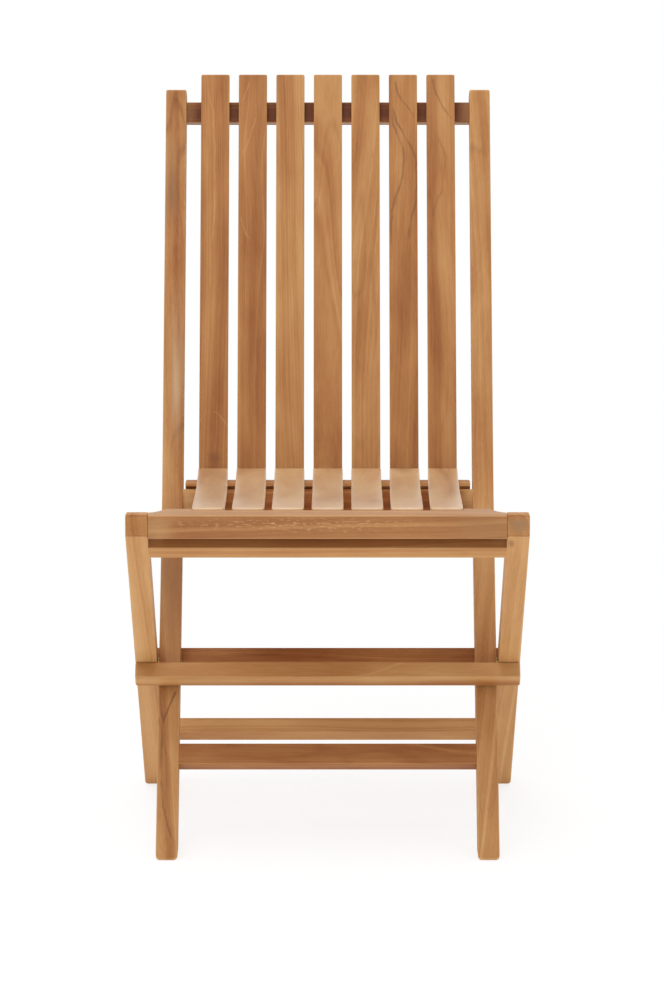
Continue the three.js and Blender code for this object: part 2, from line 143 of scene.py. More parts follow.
world = bpy.data.worlds.new("white_room")
world.use_nodes = True
bpy.context.scene.world = world
tree = world.node_tree
tree.nodes.clear()
toward = add_node(tree, "ShaderNodeTexCoord").outputs["Generated"]
height = add_node(tree, "ShaderNodeSeparateXYZ", toward).outputs["Z"]
dome = spread(tree, height, 0, 1, level_light, overhead_light, "LINEAR")
lit = add_node(tree, "ShaderNodeBackground", Color=pure_white, Strength=dome)
shown = add_node(tree, "ShaderNodeBackground", Color=pure_white, Strength=1.0)
rays = add_node(tree, "ShaderNodeLightPath").outputs
mirrored = calc(tree, "MAXIMUM", rays["Is Camera Ray"], rays["Is Glossy Ray"])
add_node(tree, "ShaderNodeOutputWorld", Surface=add_node(tree, "ShaderNodeMixShader", mirrored, lit, shown))

lamp = bpy.data.objects.new("lamp", bpy.data.lights.new("lamp", "AREA"))
lamp.data.size = lamp_size
lamp.data.energy = lamp_watts
lamp.location = lamp_place
lamp_drop = lamp_place[2] - lamp_aim_height
lamp.rotation_euler = (math.atan2(-lamp_place[1], lamp_drop), math.atan2(lamp_place[0], lamp_drop), 0)
bpy.context.scene.collection.objects.link(lamp)


# Stiles: front leg and back post in one, each sawn from one wide teak board with a bend under the seat.
# The foot is cut level and the top square. The inner face has a socket for the pivot bolt's nut.
stile_lean = math.radians(34.7)
post_lean = math.radians(25.1)
stile_depth = 0.030
stile_elbow_height = 0.39956
elbow_radius = 0.070
foot_radius, top_radius = 0.003, 0.0045
edge_ease, corner_ease, top_ease = 0.0015, 0.0045, 0.002
large_radius = 0.02
small_steps, elbow_steps, ease_steps = 5, 16, 8
sharp_edge = math.radians(50)
face_weight = 80
bolt_hole_radius = 0.0043
bore_sides = 40
nut_socket_radius, nut_socket_depth = 0.0083, 0.0063
pivot = np.array(frame["joints"][0]["pos_m"])[1:]


def lean_axes(lean):
    """Unit vectors in the side view: up a member that leans back by an angle, and backwards square to it."""
    return np.array([math.sin(lean), math.cos(lean)]), np.array([math.cos(lean), -math.sin(lean)])


def meet_height(point, direction, height):
    """The point of a side-view line at a height."""
    return point + direction * (height - point[1]) / direction[1]


def meet(p, u, q, v):
    """Where the side-view lines p + a u and q + b v cross."""
    a = np.linalg.solve(np.column_stack([u, -v]), q - p)[0]
    return p + a * u


def bent(points, radius, steps):
    """A line through points, whose inner corners are replaced by arcs of the radius that touch both arms."""
    made = [points[:1]]
    for before, corner, after in zip(points, points[1:], points[2:]):
        a, b = ((q - corner) / np.linalg.norm(q - corner) for q in (before, after))
        half = math.acos(np.clip(a @ b, -1, 1)) / 2
        centre = corner + (a + b) / np.linalg.norm(a + b) * radius / math.sin(half)
        start, end = (corner + arm * radius / math.tan(half) - centre for arm in (a, b))
        full_turn = math.atan2(start[0] * end[1] - start[1] * end[0], start @ end)
        turn = np.linspace(0, full_turn, steps)[:, None]
        made.append(centre + start * np.cos(turn) + np.array([-start[1], start[0]]) * np.sin(turn))
    return np.concatenate([*made, points[-1:]])


def rounded(corners, radii):
    """A closed side-view outline with each corner replaced by an arc of its radius."""
    ring = np.array(corners)
    looped = np.concatenate([ring[-1:], ring, ring[:1]])
    radii = np.broadcast_to(radii, len(ring))
    steps = np.where(radii > large_radius, elbow_steps, small_steps)
    return np.concatenate([bent(looped[i : i + 3], radii[i], steps[i])[1:-1] for i in range(len(ring))])


def drawn_in(corners, insets):
    """An outline's corners after each side has moved inwards by its own inset: where the lines of
    neighbouring sides cross. Side i runs from corner i to the next."""
    after = np.roll(corners, -1, axis=0)
    sides = after - corners
    turned_left = np.sum(corners[:, 0] * after[:, 1] - corners[:, 1] * after[:, 0])
    sides /= np.linalg.norm(sides, axis=1)[:, None]
    inward = np.column_stack([-sides[:, 1], sides[:, 0]]) * np.sign(turned_left)
    start = corners + inward * insets[:, None]
    gap, other = np.roll(start, 1, axis=0) - start, np.roll(sides, 1, axis=0)
    cross = sides[:, 0] * other[:, 1] - sides[:, 1] * other[:, 0]
    return start + ((gap[:, 0] * other[:, 1] - gap[:, 1] * other[:, 0]) / cross)[:, None] * sides


def sawn(corners, radii, low_x, high_x, low_eases, high_eases):
    """A board sawn to a side-view outline. Near each face the sides run in along quarter circles, each of
    its own ease: at a depth d under the face a side lies in by e - sqrt(e^2 - (e - d)^2)."""
    corners = np.array(corners)
    eases = [np.array(low_eases), np.array(high_eases)]
    depth = max(e.max() for e in eases) * (1 - np.cos(np.linspace(0, math.pi / 2, ease_steps)))
    rings = []
    for x in (*(low_x + depth), *(high_x - depth[::-1])):
        depths = (x - low_x, high_x - x)
        inset = sum(e - np.sqrt(e**2 - np.clip(e - d, 0, None) ** 2) for e, d in zip(eases, depths))
        outline = rounded(drawn_in(corners, inset), radii)
        rings.append(np.column_stack([np.full(len(outline), x), outline]))
    return np.stack(rings)


def signed_faces(rings, quads):
    """Each quad's middle, measured from the piece's middle, and its area vector: their products sum to the
    volume."""
    points = rings.reshape(-1, 3)
    corners = points[quads]
    middle = corners.mean(axis=1) - points.mean(axis=0)
    return middle, np.cross(corners[:, 2] - corners[:, 0], corners[:, 3] - corners[:, 1])


def skin(name, rings):
    """A closed piece from rings (m, n, 3): quads between neighbours and one face over each end."""
    m, n = rings.shape[:2]
    row = np.arange(m - 1)[:, None] * n
    here, beside = np.arange(n), np.roll(np.arange(n), -1)
    quads = np.stack([row + here, row + beside, row + n + beside, row + n + here], axis=-1).reshape(-1, 4)
    end_faces = [list(range(n))[::-1], list(range((m - 1) * n, m * n))]
    made = bpy.data.meshes.new(name)
    made.from_pydata(rings.reshape(-1, 3), [], [*quads.tolist(), *end_faces])
    volume = np.einsum("ij,ij->", *signed_faces(rings, quads))
    if volume < 0:
        made.flip_normals()
    made.polygons.foreach_set("use_smooth", np.ones(len(made.polygons), bool))
    made.set_sharp_from_angle(angle=sharp_edge)
    piece = bpy.data.objects.new(name, made)
    bpy.context.scene.collection.objects.link(piece)
    shade = piece.modifiers.new("face_shading", "WEIGHTED_NORMAL")
    shade.weight = face_weight
    shade.keep_sharp = True
    return piece


def cut_out(piece, walls):
    """Takes the closed shape of the rings out of a piece, and keeps the piece's own materials."""
    cutter = skin("cutter", walls)
    cutter.modifiers.clear()
    cut = piece.modifiers.new("cut", "BOOLEAN")
    cut.object = cutter
    shade = piece.modifiers["face_shading"]
    shade.show_viewport = False
    bpy.context.view_layer.update()
    made = bpy.data.meshes.new_from_object(piece.evaluated_get(bpy.context.evaluated_depsgraph_get()))
    made.set_sharp_from_angle(angle=sharp_edge)
    piece.modifiers.remove(cut)
    shade.show_viewport = True
    piece.data = made
    bpy.data.objects.remove(cutter)


def bore(piece, radius, one_x, other_x, centre, sides=bore_sides):
    """Cuts a hole along x between two places: its wall is a circle of the radius about the centre."""
    turn = np.linspace(0, 2 * math.pi, sides, endpoint=False)
    ring = centre + radius * np.column_stack([np.cos(turn), np.sin(turn)])
    ends = (min(one_x, other_x), max(one_x, other_x))
    cut_out(piece, np.stack([np.column_stack([np.full(sides, x), ring]) for x in ends]))


def box_x(node):
    """The lowest and highest x of a CAD node."""
    low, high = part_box(node)
    return low.x, high.x


# The teak of the stiles and of all other wood. Sizes are in waves per metre, along a board's x, y and z.
sway_size, sway_reach = (7, 7, 1.6), (0.03, 0.03, 0)
fibre_size, pore_size, mottle_size = (1100, 1100, 16), (1700, 1700, 70), (30, 30, 8)
vein_size, vein_area_size = (22, 22, 2.6), (9, 9, 5)
band_rate, year_rate, pale_ring_rate = 55, 360, 95
pale_ring_width, vein_width = 0.012, 0.014
pore_level = 0.68
# The edge settings below paint a highlight: edges where two faces meet are made paler.
vein_rise, edge_highlight_rise, cut_end_rise = (0.45, 5.0), (0.22, 4.0), (0.55, 5.6)
mottle_share, band_share, year_share, fibre_share = 0.7, 0.75, 0.19, 0.27
pale_ring_share, pore_share, edge_highlight_share = -0.12, 0.06, -0.16
teak_tones = (
    (0, (0.72, 0.45, 0.205)), (0.3, (0.60, 0.32, 0.121)), (0.55, (0.455, 0.197, 0.062)),
    (0.8, (0.29, 0.094, 0.022)), (1, (0.14, 0.036, 0.007)),
)
vein_stain = (0.5, 0.40, 0.33, 1)
fibre_rough, least_rough = 0.2, 0.44
year_bump, bump_strength, bump_height = 0.4, 0.12, 0.0004
plain_gloss, sheen_gloss, sheen_smooth, sheen_spread = 0.25, 0.5, 0.75, 0.4
sheen_tint = (1, 0.84, 0.70, 1)
board_tip, trunk_length, pith_spread = 2.4, 2.0, 0.4
boards = itertools.count(1)


def noise(tree, place, size, detail=2.0, rough=0.5):
    """Soft noise about a half. Its size is in waves per unit of place, and three sizes stretch it."""
    if isinstance(size, tuple):
        place, size = add_node(tree, "ShaderNodeVectorMath", place, size, operation="MULTIPLY"), 1.0
    return add_node(
        tree, "ShaderNodeTexNoise", Vector=place, Scale=size, Detail=detail, Roughness=rough
    ).outputs["Fac"]


def wood_group():
    """The grain of sawn teak in board coordinates: x across the face, y through it, z along the fibres, and
    the tree's pith on the z axis. Growth rings follow the distance from that axis, warped slowly along the
    trunk. Facing is the surface's normal in those axes: edges are painted paler, a painted highlight, and
    cut ends darker."""
    group = bpy.data.node_groups.new("sawn_teak", "ShaderNodeTree")
    for name in ("Board", "Facing"):
        group.interface.new_socket(name, in_out="INPUT", socket_type="NodeSocketVector")
    for name in ("Brown", "Vein", "Figure", "Ends"):
        group.interface.new_socket(name, in_out="INPUT", socket_type="NodeSocketFloat")
    group.interface.new_socket("Color", in_out="OUTPUT", socket_type="NodeSocketColor")
    for name in ("Roughness", "Height"):
        group.interface.new_socket(name, in_out="OUTPUT", socket_type="NodeSocketFloat")
    given = add_node(group, "NodeGroupInput").outputs
    place = given["Board"]

    def vector(operation, *values):
        return add_node(group, "ShaderNodeVectorMath", *values, operation=operation)

    def centred(value):
        return calc(group, "SUBTRACT", value, 0.5)

    def ring_noise(rate, detail):
        return add_node(
            group, "ShaderNodeTexNoise", noise_dimensions="1D", W=distance, Scale=rate, Detail=detail
        ).outputs["Fac"]

    def line(value, width):
        """1 where the value passes through a half, falling to 0 at the width on either side."""
        off = calc(group, "DIVIDE", calc(group, "ABSOLUTE", centred(value)), width)
        return calc(group, "SUBTRACT", 1.0, off, clamp=True)

    def rise(value, level, steepness):
        """0 up to the level, then a straight rise to 1."""
        above = calc(group, "SUBTRACT", value, level, clamp=True)
        return calc(group, "MULTIPLY", above, steepness, clamp=True)

    sway = add_node(
        group, "ShaderNodeTexNoise", Vector=vector("MULTIPLY", place, sway_size), Scale=1.0, Detail=2.0
    ).outputs["Color"]
    swayed = vector("MULTIPLY_ADD", sway, sway_reach, place)
    distance = vector("LENGTH", vector("MULTIPLY", swayed, (1, 1, 0))).outputs["Value"]
    band, year = ring_noise(band_rate, detail=1.0), ring_noise(year_rate, detail=3.0)
    fibre = noise(group, place, fibre_size, detail=3.0, rough=0.6)
    pore = calc(group, "GREATER_THAN", noise(group, place, pore_size, detail=1.0), pore_level)
    mottle = noise(group, place, mottle_size, detail=3.0)
    pale_ring = line(ring_noise(pale_ring_rate, detail=0.0), pale_ring_width)
    vein_area = rise(noise(group, place, vein_area_size, detail=1.0), *vein_rise)
    vein_line = line(noise(group, swayed, vein_size, detail=1.0), vein_width)
    vein = calc(group, "MULTIPLY", vein_line, vein_area)

    # Edges where two faces meet are painted paler, a painted highlight; faces across the fibres are darker
    # end grain.
    facing = vector("ABSOLUTE", given["Facing"])
    across_face, through, end_on = add_node(group, "ShaderNodeSeparateXYZ", facing).outputs
    corner = calc(group, "MULTIPLY", across_face, through)
    corner = calc(group, "MULTIPLY_ADD", calc(group, "ADD", across_face, through), end_on, corner)
    edge_highlight, cut_end = rise(corner, *edge_highlight_rise), rise(end_on, *cut_end_rise)

    banded = calc(group, "MULTIPLY", centred(band), band_share)
    soft = calc(group, "MULTIPLY_ADD", centred(mottle), mottle_share, banded)
    tone = calc(group, "MULTIPLY_ADD", soft, given["Figure"], 0.5)
    for part, amount in (
        (centred(year), year_share), (centred(fibre), fibre_share), (pale_ring, pale_ring_share),
        (pore, pore_share), (edge_highlight, edge_highlight_share), (cut_end, given["Ends"]),
    ):
        tone = calc(group, "MULTIPLY_ADD", part, amount, tone)
    ramp = add_node(group, "ShaderNodeValToRGB", Fac=calc(group, "ADD", tone, given["Brown"]))
    stops = ramp.color_ramp.elements
    stops[0].color, stops[1].color = (*teak_tones[0][1], 1), (*teak_tones[-1][1], 1)
    for at, colour in teak_tones[1:-1]:
        stops.new(at).color = (*colour, 1)
    stain = add_node(
        group, "ShaderNodeMix", data_type="RGBA", blend_type="MULTIPLY",
        Factor=calc(group, "MULTIPLY", vein, given["Vein"]), A=ramp, B=vein_stain,
    )
    relief = calc(group, "SUBTRACT", calc(group, "MULTIPLY_ADD", year, year_bump, fibre), pore)
    add_node(
        group, "NodeGroupOutput", Color=stain.outputs["Result"], Height=relief,
        Roughness=calc(group, "MULTIPLY_ADD", fibre, fibre_rough, least_rough),
    )
    return group


# Marks of single boards: dark and pale grain lines, soft patches and fine flecks. Their places are in mm.
mm = 1000
line_margin, line_shake, line_shake_size = 0.001, 0.005, 70.0
line_gap_size, line_gap_levels, line_gap_least = 48.0, (0.32, 0.58), 0.25
line_fade = (0.4, 0.5)
patch_uneven, patch_edge_size = 0.35, 1.6
fleck_size, fleck_levels = (120.0, 120.0, 520.0), (0.54, 0.68)
dark_line, pale_line = (0.19, 0.078, 0.03), (0.62, 0.37, 0.165)


def drawn_line(tree, place, points, half_wide):
    """How much of a thin grain line through (x, height) points covers a place: 1 on it, 0 past its half
    width. A curve gives its x at each height, noise shakes it and thins it, and it fades at its ends."""
    x, z = np.array(sorted(points, key=lambda at: at[1])).T / mm
    x_low, x_high = x.min() - line_margin, x.max() + line_margin
    axes = add_node(tree, "ShaderNodeSeparateXYZ", place).outputs
    run = spread(tree, axes["Z"], z[0], z[-1], shape="LINEAR")
    bend = add_node(tree, "ShaderNodeFloatCurve", Value=run)
    curve = bend.mapping.curves[0]
    shares = np.column_stack([(z - z[0]) / (z[-1] - z[0]), (x - x_low) / (x_high - x_low)]).tolist()
    curve.points[0].location, curve.points[1].location = shares[0], shares[-1]
    for at in shares[1:-1]:
        curve.points.new(*at)
    bend.mapping.update()
    half_shake = line_shake / 2
    line_x = spread(tree, bend, 0, 1, x_low + half_shake, x_high + half_shake, "LINEAR")
    shaken = calc(tree, "MULTIPLY_ADD", noise(tree, place, line_shake_size), line_shake, axes["X"])
    off = calc(tree, "ABSOLUTE", calc(tree, "SUBTRACT", shaken, line_x))
    from_middle = calc(tree, "ABSOLUTE", calc(tree, "SUBTRACT", run, 0.5))
    cover = calc(
        tree, "MULTIPLY", spread(tree, off, 0, half_wide, 1, 0), spread(tree, from_middle, *line_fade, 1, 0)
    )
    faint = noise(tree, place, line_gap_size, detail=3.0)
    return calc(tree, "MULTIPLY", cover, spread(tree, faint, *line_gap_levels, line_gap_least, 1, "LINEAR"))


def soft_patch(tree, place, centre, half_sizes):
    """How much of a soft, uneven patch covers a place: 1 at its centre and 0 past its half sizes."""
    centre, half_sizes = np.array(centre) / mm, np.array(half_sizes) / mm
    moved = add_node(tree, "ShaderNodeMapping", place, Location=-centre / half_sizes, Scale=1 / half_sizes)
    far = add_node(tree, "ShaderNodeVectorMath", moved, operation="LENGTH").outputs["Value"]
    uneven = noise(tree, moved, patch_edge_size, detail=3.0)
    edge = calc(tree, "MULTIPLY_ADD", uneven, 2 * patch_uneven, far)
    return spread(tree, edge, patch_uneven, 1 + patch_uneven, 1, 0)


def marked(tree, place, colour, marks):
    """The colour with a piece's own marks laid over it. Flecks are the part of a patch where a noise that is
    stretched across the chair is high."""
    for kind, strength, tint, shape, size in marks:
        if kind == "line":
            cover = drawn_line(tree, place, shape, size / mm)
        else:
            cover = soft_patch(tree, place, shape, size)
        if kind == "flecks":
            dashes = spread(tree, noise(tree, place, fleck_size, detail=1.0), *fleck_levels)
            cover = calc(tree, "MULTIPLY", cover, dashes)
        share = calc(tree, "MULTIPLY", cover, strength)
        laid = add_node(tree, "ShaderNodeMix", data_type="RGBA", Factor=share, A=colour, B=(*tint, 1))
        colour = laid.outputs["Result"]
    return colour


sawn_teak = wood_group()


def wood(
    node, rings, lean, body, brown, vein,
    across=False, pith=0.09, figure=0.75, end_tone=-0.08, sheen=0.0, marks=(),
):
    """A teak piece that stands for its CAD node. Its fibres run along it, and it is cut from its own place
    in the tree: the mapping turns the leaning member upright, tips it a degree or two and moves it off the
    pith."""
    draw = np.random.default_rng(next(boards)).uniform(-1, 1, 6)
    material, tree = new_material(node + "_teak")
    surface = add_node(tree, "ShaderNodeTexCoord").outputs
    place = surface["Object"]
    tip = np.radians(board_tip) * draw[:2]
    level = -math.pi / 2 if across else 0
    cut = add_node(
        tree, "ShaderNodeMapping", place,
        Location=(pith * draw[2], pith * (1 + pith_spread * draw[3]), trunk_length * draw[4]),
        Rotation=(lean + tip[0], level + tip[1], draw[5] * math.pi),
    )
    facing = add_node(
        tree, "ShaderNodeMapping", surface["Normal"], vector_type="VECTOR", Rotation=(lean, level, 0)
    )
    grain = add_node(
        tree, "ShaderNodeGroup", node_tree=sawn_teak, Board=cut, Facing=facing,
        Brown=brown, Vein=vein, Figure=figure, Ends=end_tone,
    ).outputs
    timber = add_node(
        tree, "ShaderNodeBsdfPrincipled",
        Base_Color=marked(tree, place, grain["Color"], marks),
        Roughness=calc(tree, "MULTIPLY", grain["Roughness"], 1 - sheen_smooth * sheen),
        Normal=add_node(
            tree, "ShaderNodeBump", Strength=bump_strength, Distance=bump_height, Height=grain["Height"]
        ),
        Specular_IOR_Level=plain_gloss + sheen_gloss * sheen,
        Sheen_Weight=sheen, Sheen_Roughness=sheen_spread, Sheen_Tint=sheen_tint,
    )
    add_node(tree, "ShaderNodeOutputMaterial", Surface=timber)
    piece = skin(node + "_wood", rings)
    piece.data.materials.append(material)
    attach(piece, body)
    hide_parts(node)
    return piece


up, back = lean_axes(stile_lean)
post_up, post_back = lean_axes(post_lean)
top_drop = foot_radius * (math.cos(post_lean) + math.sin(post_lean) - 1)
stile_front = pivot - back * stile_depth / 2
foot_front = meet_height(stile_front, up, 0)
foot_rear = meet_height(stile_front + back * stile_depth, up, 0)
elbow_front = meet_height(stile_front, up, stile_elbow_height)
elbow_rear = meet(foot_rear, up, elbow_front + post_back * stile_depth, post_up)
top_front = meet_height(elbow_front, post_up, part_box("stile_left")[1].z + top_drop)
top_rear = top_front + post_back * stile_depth
stile_corners = [foot_front, foot_rear, elbow_rear, top_rear, top_front, elbow_front]
stile_radii = [foot_radius, foot_radius, elbow_radius, foot_radius, top_radius, elbow_radius]
stile_eases = [corner_ease, edge_ease, edge_ease, top_ease, edge_ease, edge_ease]
left_marks = [
    ("patch", 0.8, (0.25, 0.115, 0.05), (-202, 0, 800), (34, 400, 150)),
    ("patch", 0.85, (0.22, 0.11, 0.06), (-199, 0, 770), (9, 400, 80)),
    ("patch", 0.8, (0.62, 0.42, 0.24), (-191, 0, 535), (12, 400, 130)),
    ("patch", 0.5, (0.27, 0.10, 0.03), (-205, 0, 610), (5, 400, 170)),
    # Painted shade: the stile is darkened under the seat, where the seat's shadow falls.
    ("patch", 0.75, (0.24, 0.10, 0.035), (-194, 0, 300), (34, 400, 150)),
    ("line", 0.75, dark_line, [(-185.7, 181), (-191.5, 168), (-197.4, 155), (-202.1, 146)], 2.6),
    ("line", 0.75, dark_line, [
        (-205.2, 181), (-203.5, 157), (-200.9, 146), (-202.2, 122), (-201.6, 90), (-199.2, 64), (-195.3, 45),
        (-191.3, 31), (-186.4, 22), (-180.3, 15),
    ], 2.6),
]
# Painted light: the right stile is lightened under the seat.
right_marks = [("patch", 0.6, (0.60, 0.33, 0.13), (194, 0, 330), (34, 400, 110))]
for hand, inner, brown, marks in (("left", 1, 0.02, left_marks), ("right", 0, -0.03, right_marks)):
    node = f"stile_{hand}"
    ends = box_x(node)
    rings = sawn(stile_corners, stile_radii, *ends, stile_eases, stile_eases)
    stile = wood(node, rings, (stile_lean + post_lean) / 2, "front_frame", brown, vein=0.5, marks=marks)
    face, far = ends[inner], ends[1 - inner]
    outward = math.copysign(nut_socket_depth, face - far)
    bore(stile, nut_socket_radius, face - outward, face + outward, pivot)
    bore(stile, bolt_hole_radius, far - outward, face, pivot)


# Front stretcher: a square rail tenoned between the front legs, its shoulders tight against them.
# Its edges are eased a little.
stretcher_deep, stretcher_tall = 0.022, 0.0265
shoulder_sink = 0.0004
plain_end = 0.0006
station_step = 0.012
end_steps = 6
between_stiles = (box_x("stile_left")[1] - shoulder_sink, box_x("stile_right")[0] + shoulder_sink)


def stations(length, ease):
    """Places from 0 to length, and how far the surface lies in there: a quarter circle at each end."""
    turn = np.linspace(0, math.pi / 2, end_steps)
    near, inset = ease * (1 - np.cos(turn)), ease * (1 - np.sin(turn))
    inner = np.linspace(ease, length - ease, max(2, round(length / station_step)))[1:-1]
    places = np.concatenate([near, inner, length - near[::-1]])
    return places, np.concatenate([inset, np.zeros_like(inner), inset[::-1]])


def rounded_ring(half_wide, half_thick, ease=edge_ease):
    """(u, v) round a rectangle with corner arcs, one row for each pair of half sizes: each corner's centre
    lies the ease inside both sides, and the arc runs a quarter circle about it."""
    arc = np.linspace(0, math.pi / 2, small_steps)
    turn = (np.arange(4)[:, None] * math.pi / 2 + arc).ravel()
    sign_u = np.repeat([1, -1, -1, 1], small_steps)
    sign_v = np.repeat([1, 1, -1, -1], small_steps)
    u = (half_wide[:, None] - ease) * sign_u + ease * np.cos(turn)
    v = (half_thick[:, None] - ease) * sign_v + ease * np.sin(turn)
    return u, v


def rail(middle, lean, deep, tall, low_x, high_x, end):
    """A straight rail across the chair: a rounded rectangle at each place along x, drawn in at the ends."""
    up, back = lean_axes(lean)
    places, inset = stations(high_x - low_x, end)
    u, v = rounded_ring(deep / 2 - inset, tall / 2 - inset)
    side = middle + back * u[:, :, None] + up * v[:, :, None]
    x = np.broadcast_to((low_x + places)[:, None, None], (*u.shape, 1))
    return np.concatenate([x, side], axis=-1)


def box_middle(node):
    """The side-view middle of a CAD node's box, which for a straight rail is its centre line."""
    low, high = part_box(node)
    return np.array([low.y + high.y, low.z + high.z]) / 2


stretcher_middle = box_middle("front_stretcher")
rings = rail(stretcher_middle, stile_lean, stretcher_deep, stretcher_tall, *between_stiles, plain_end)
wood("front_stretcher", rings, stile_lean, "front_frame", brown=0.21, vein=0.2, across=True)


# Seat rail: it carries the back slats' lower ends behind it, and the seat's loose rear end in the step on
# its top. It is tenoned between the stiles just above the bend.
seat_rail_deep, seat_rail_tall = 0.023, 0.040
seat_rail_height = 0.4013
rail_setback = 0.0005
back_lean = math.radians(22.35)
lip_thick, step_drop = 0.007, 0.0113
moulding_ease = 0.0012


def moulding(outline, low_x, high_x):
    """A side-view outline carried straight across the chair."""
    return np.stack([np.column_stack([np.full(len(outline), x), outline]) for x in (low_x, high_x)])


panel_up, panel_back = lean_axes(back_lean)
rail_front_top = meet_height(elbow_front + post_back * rail_setback, post_up, seat_rail_height)
step_height = rail_front_top[1] - step_drop
lip_rear = rail_front_top + panel_back * lip_thick
rail_rear = rail_front_top + panel_back * seat_rail_deep
rail_outline = rounded([
    rail_front_top,
    rail_front_top - panel_up * seat_rail_tall,
    rail_rear - panel_up * seat_rail_tall,
    meet_height(rail_rear, panel_up, step_height),
    (lip_rear[0], step_height),
    lip_rear,
], moulding_ease)
# Painted light and shade: the rail's dark tone stands for the seat's shade over it, and its ends are painted
# paler where no shade falls.
rail_marks = [
    ("patch", 0.7, (0.60, 0.35, 0.14), (-178, 60, 395), (26, 100, 60)),
    ("patch", 0.7, (0.60, 0.35, 0.14), (180, 60, 395), (20, 100, 60)),
]
rings = moulding(rail_outline, *between_stiles)
wood("seat_rail", rings, back_lean, "front_frame", brown=0.28, vein=0.2, across=True, marks=rail_marks)


# Top rail: a thin rail tenoned between the posts, behind the slats.
# The slats' upper ends are screwed to it.
top_rail_deep, top_rail_tall = 0.016, 0.026
top_rail_middle = box_middle("top_rail")
# Painted light and shade: the rail's dark tone stands for the shade between the slats, its ends are painted
# paler where the slats cast no shade, and a painted highlight runs along its lower edge.
lit_end_tone = (0.46, 0.23, 0.085)
side_place = top_rail_middle * mm
lit_lower_edge = (top_rail_middle - panel_up * top_rail_tall / 2) * mm
top_rail_marks = [
    ("patch", 0.8, lit_end_tone, (-190, *side_place), (28, 100, 100)),
    ("patch", 0.8, lit_end_tone, (190, *side_place), (28, 100, 100)),
    ("patch", 0.8, (0.62, 0.40, 0.20), (0, *lit_lower_edge), (700, 30, 2.6)),
]
rings = rail(top_rail_middle, back_lean, top_rail_deep, top_rail_tall, *between_stiles, plain_end)
wood("top_rail", rings, back_lean, "front_frame", brown=0.46, vein=0.1, across=True, marks=top_rail_marks)


# Back slats: seven flat boards with softened edges, screwed to the two rails from behind.
# Each is sawn from another part of the tree, so that their tones and figures differ.
back_slat_length, back_slat_thick, back_slat_end = 0.5836, 0.011, 0.0018
slat_browns = (0.12, 0.13, 0.0, 0.08, -0.01, 0.13, 0.04)
slat_numbers = range(1, len(slat_browns) + 1)
slat_marks = {
    1: [
        ("patch", 0.55, (0.42, 0.165, 0.04), (-149, 0, 790), (8, 400, 120)),
        ("line", 0.5, pale_line, [
            (-152.6, 887), (-150.8, 869), (-146.8, 845), (-144.1, 808), (-144.5, 777), (-143.7, 743),
            (-146, 707), (-151.3, 686),
        ], 1.3),
        ("patch", 0.8, (0.24, 0.09, 0.03), (-143, 85, 433), (12, 100, 12)),
        ("line", 0.6, pale_line, [(-160, 476), (-157, 484), (-148, 490)], 1.0),
        ("line", 0.6, pale_line, [(-126, 471), (-133, 481), (-146, 490)], 1.0),
    ],
    2: [
        ("line", 0.45, pale_line, [(-100.4, 888), (-104.8, 875), (-108.6, 864)], 1.2),
        ("line", 0.45, pale_line, [(-91.9, 845), (-99.5, 820), (-109.6, 798)], 1.2),
        ("line", 0.45, pale_line, [(-110.5, 723), (-102.8, 701), (-97, 695)], 1.2),
    ],
    6: [
        ("line", 0.7, dark_line, [
            (81.5, 865), (85.7, 844), (95.2, 826), (106, 807), (112.3, 786), (111.7, 743), (105.6, 717),
            (103, 689),
        ], 2.5),
        ("line", 0.6, dark_line, [
            (80.6, 859), (82.5, 841), (92, 816), (96.6, 792), (93.1, 768), (85.4, 743), (80.2, 717),
            (82, 683),
        ], 2.5),
        ("line", 0.55, dark_line, [(85.8, 890), (92.2, 869), (101.7, 857), (111.2, 841)], 2.4),
    ],
    7: [
        ("line", 0.6, dark_line, [(133.2, 894), (140.1, 869), (149.6, 853), (158.5, 841)], 2.4),
        ("line", 0.4, dark_line, [
            (133.5, 826), (143, 814), (149.3, 792), (147.9, 768), (139.4, 743), (133, 719), (133.4, 683),
        ], 2.5),
    ],
}


def along(points, shares):
    """Points at shares of a line's length."""
    run = np.concatenate([[0], np.cumsum(np.linalg.norm(np.diff(points, axis=0), axis=1))])
    return np.column_stack([np.interp(shares * run[-1], run, column) for column in points.T])


def board(front, back, low_x, high_x, end, ease=edge_ease):
    """A straight-sided board: at each station a rounded rectangle between a point of the front line and the
    matching point of the back line, as wide as the board across the chair."""
    length = np.linalg.norm(np.diff(front, axis=0), axis=1).sum()
    places, inset = stations(length, end)
    fore, rear = along(front, places / length), along(back, places / length)
    depth = np.linalg.norm(rear - fore, axis=1)
    u, v = rounded_ring((high_x - low_x) / 2 - inset, depth / 2 - inset, ease)
    middle, through = (fore + rear) / 2, (rear - fore) / depth[:, None]
    side = middle[:, None, :] + through[:, None, :] * v[:, :, None]
    return np.concatenate([(low_x + high_x) / 2 + u[:, :, None], side], axis=-1)


for number, brown in zip(slat_numbers, slat_browns):
    node = f"back_slat_{number}"
    middle = box_middle(node)
    ends = np.array([middle - panel_up * back_slat_length / 2, middle + panel_up * back_slat_length / 2])
    half = panel_back * back_slat_thick / 2
    rings = board(ends - half, ends + half, *box_x(node), back_slat_end)
    wood(node, rings, back_lean, "front_frame", brown, vein=0.3, marks=slat_marks.get(number, ()))


# Screws: brass, countersunk flush, with a cross recess. From behind, one holds each slat to each rail.
# The heads' faces are crowned a little.
screw_head_radius, screw_head_tall, screw_crown = 0.0036, 0.0026, 0.00025
screw_radius, screw_point, screw_bite = 0.0019, 0.0004, 0.0068
recess_half, recess_reach, recess_deep = 0.0005, 0.0021, 0.0009
head_turns, head_circles, least_circle = 28, 12, 0.06
tarnish_size = 420.0
tarnished, clean_brass = (0.3, (0.40, 0.27, 0.11, 1)), (0.65, (0.62, 0.44, 0.17, 1))
tarnished_rough, clean_rough = 0.45, 0.28


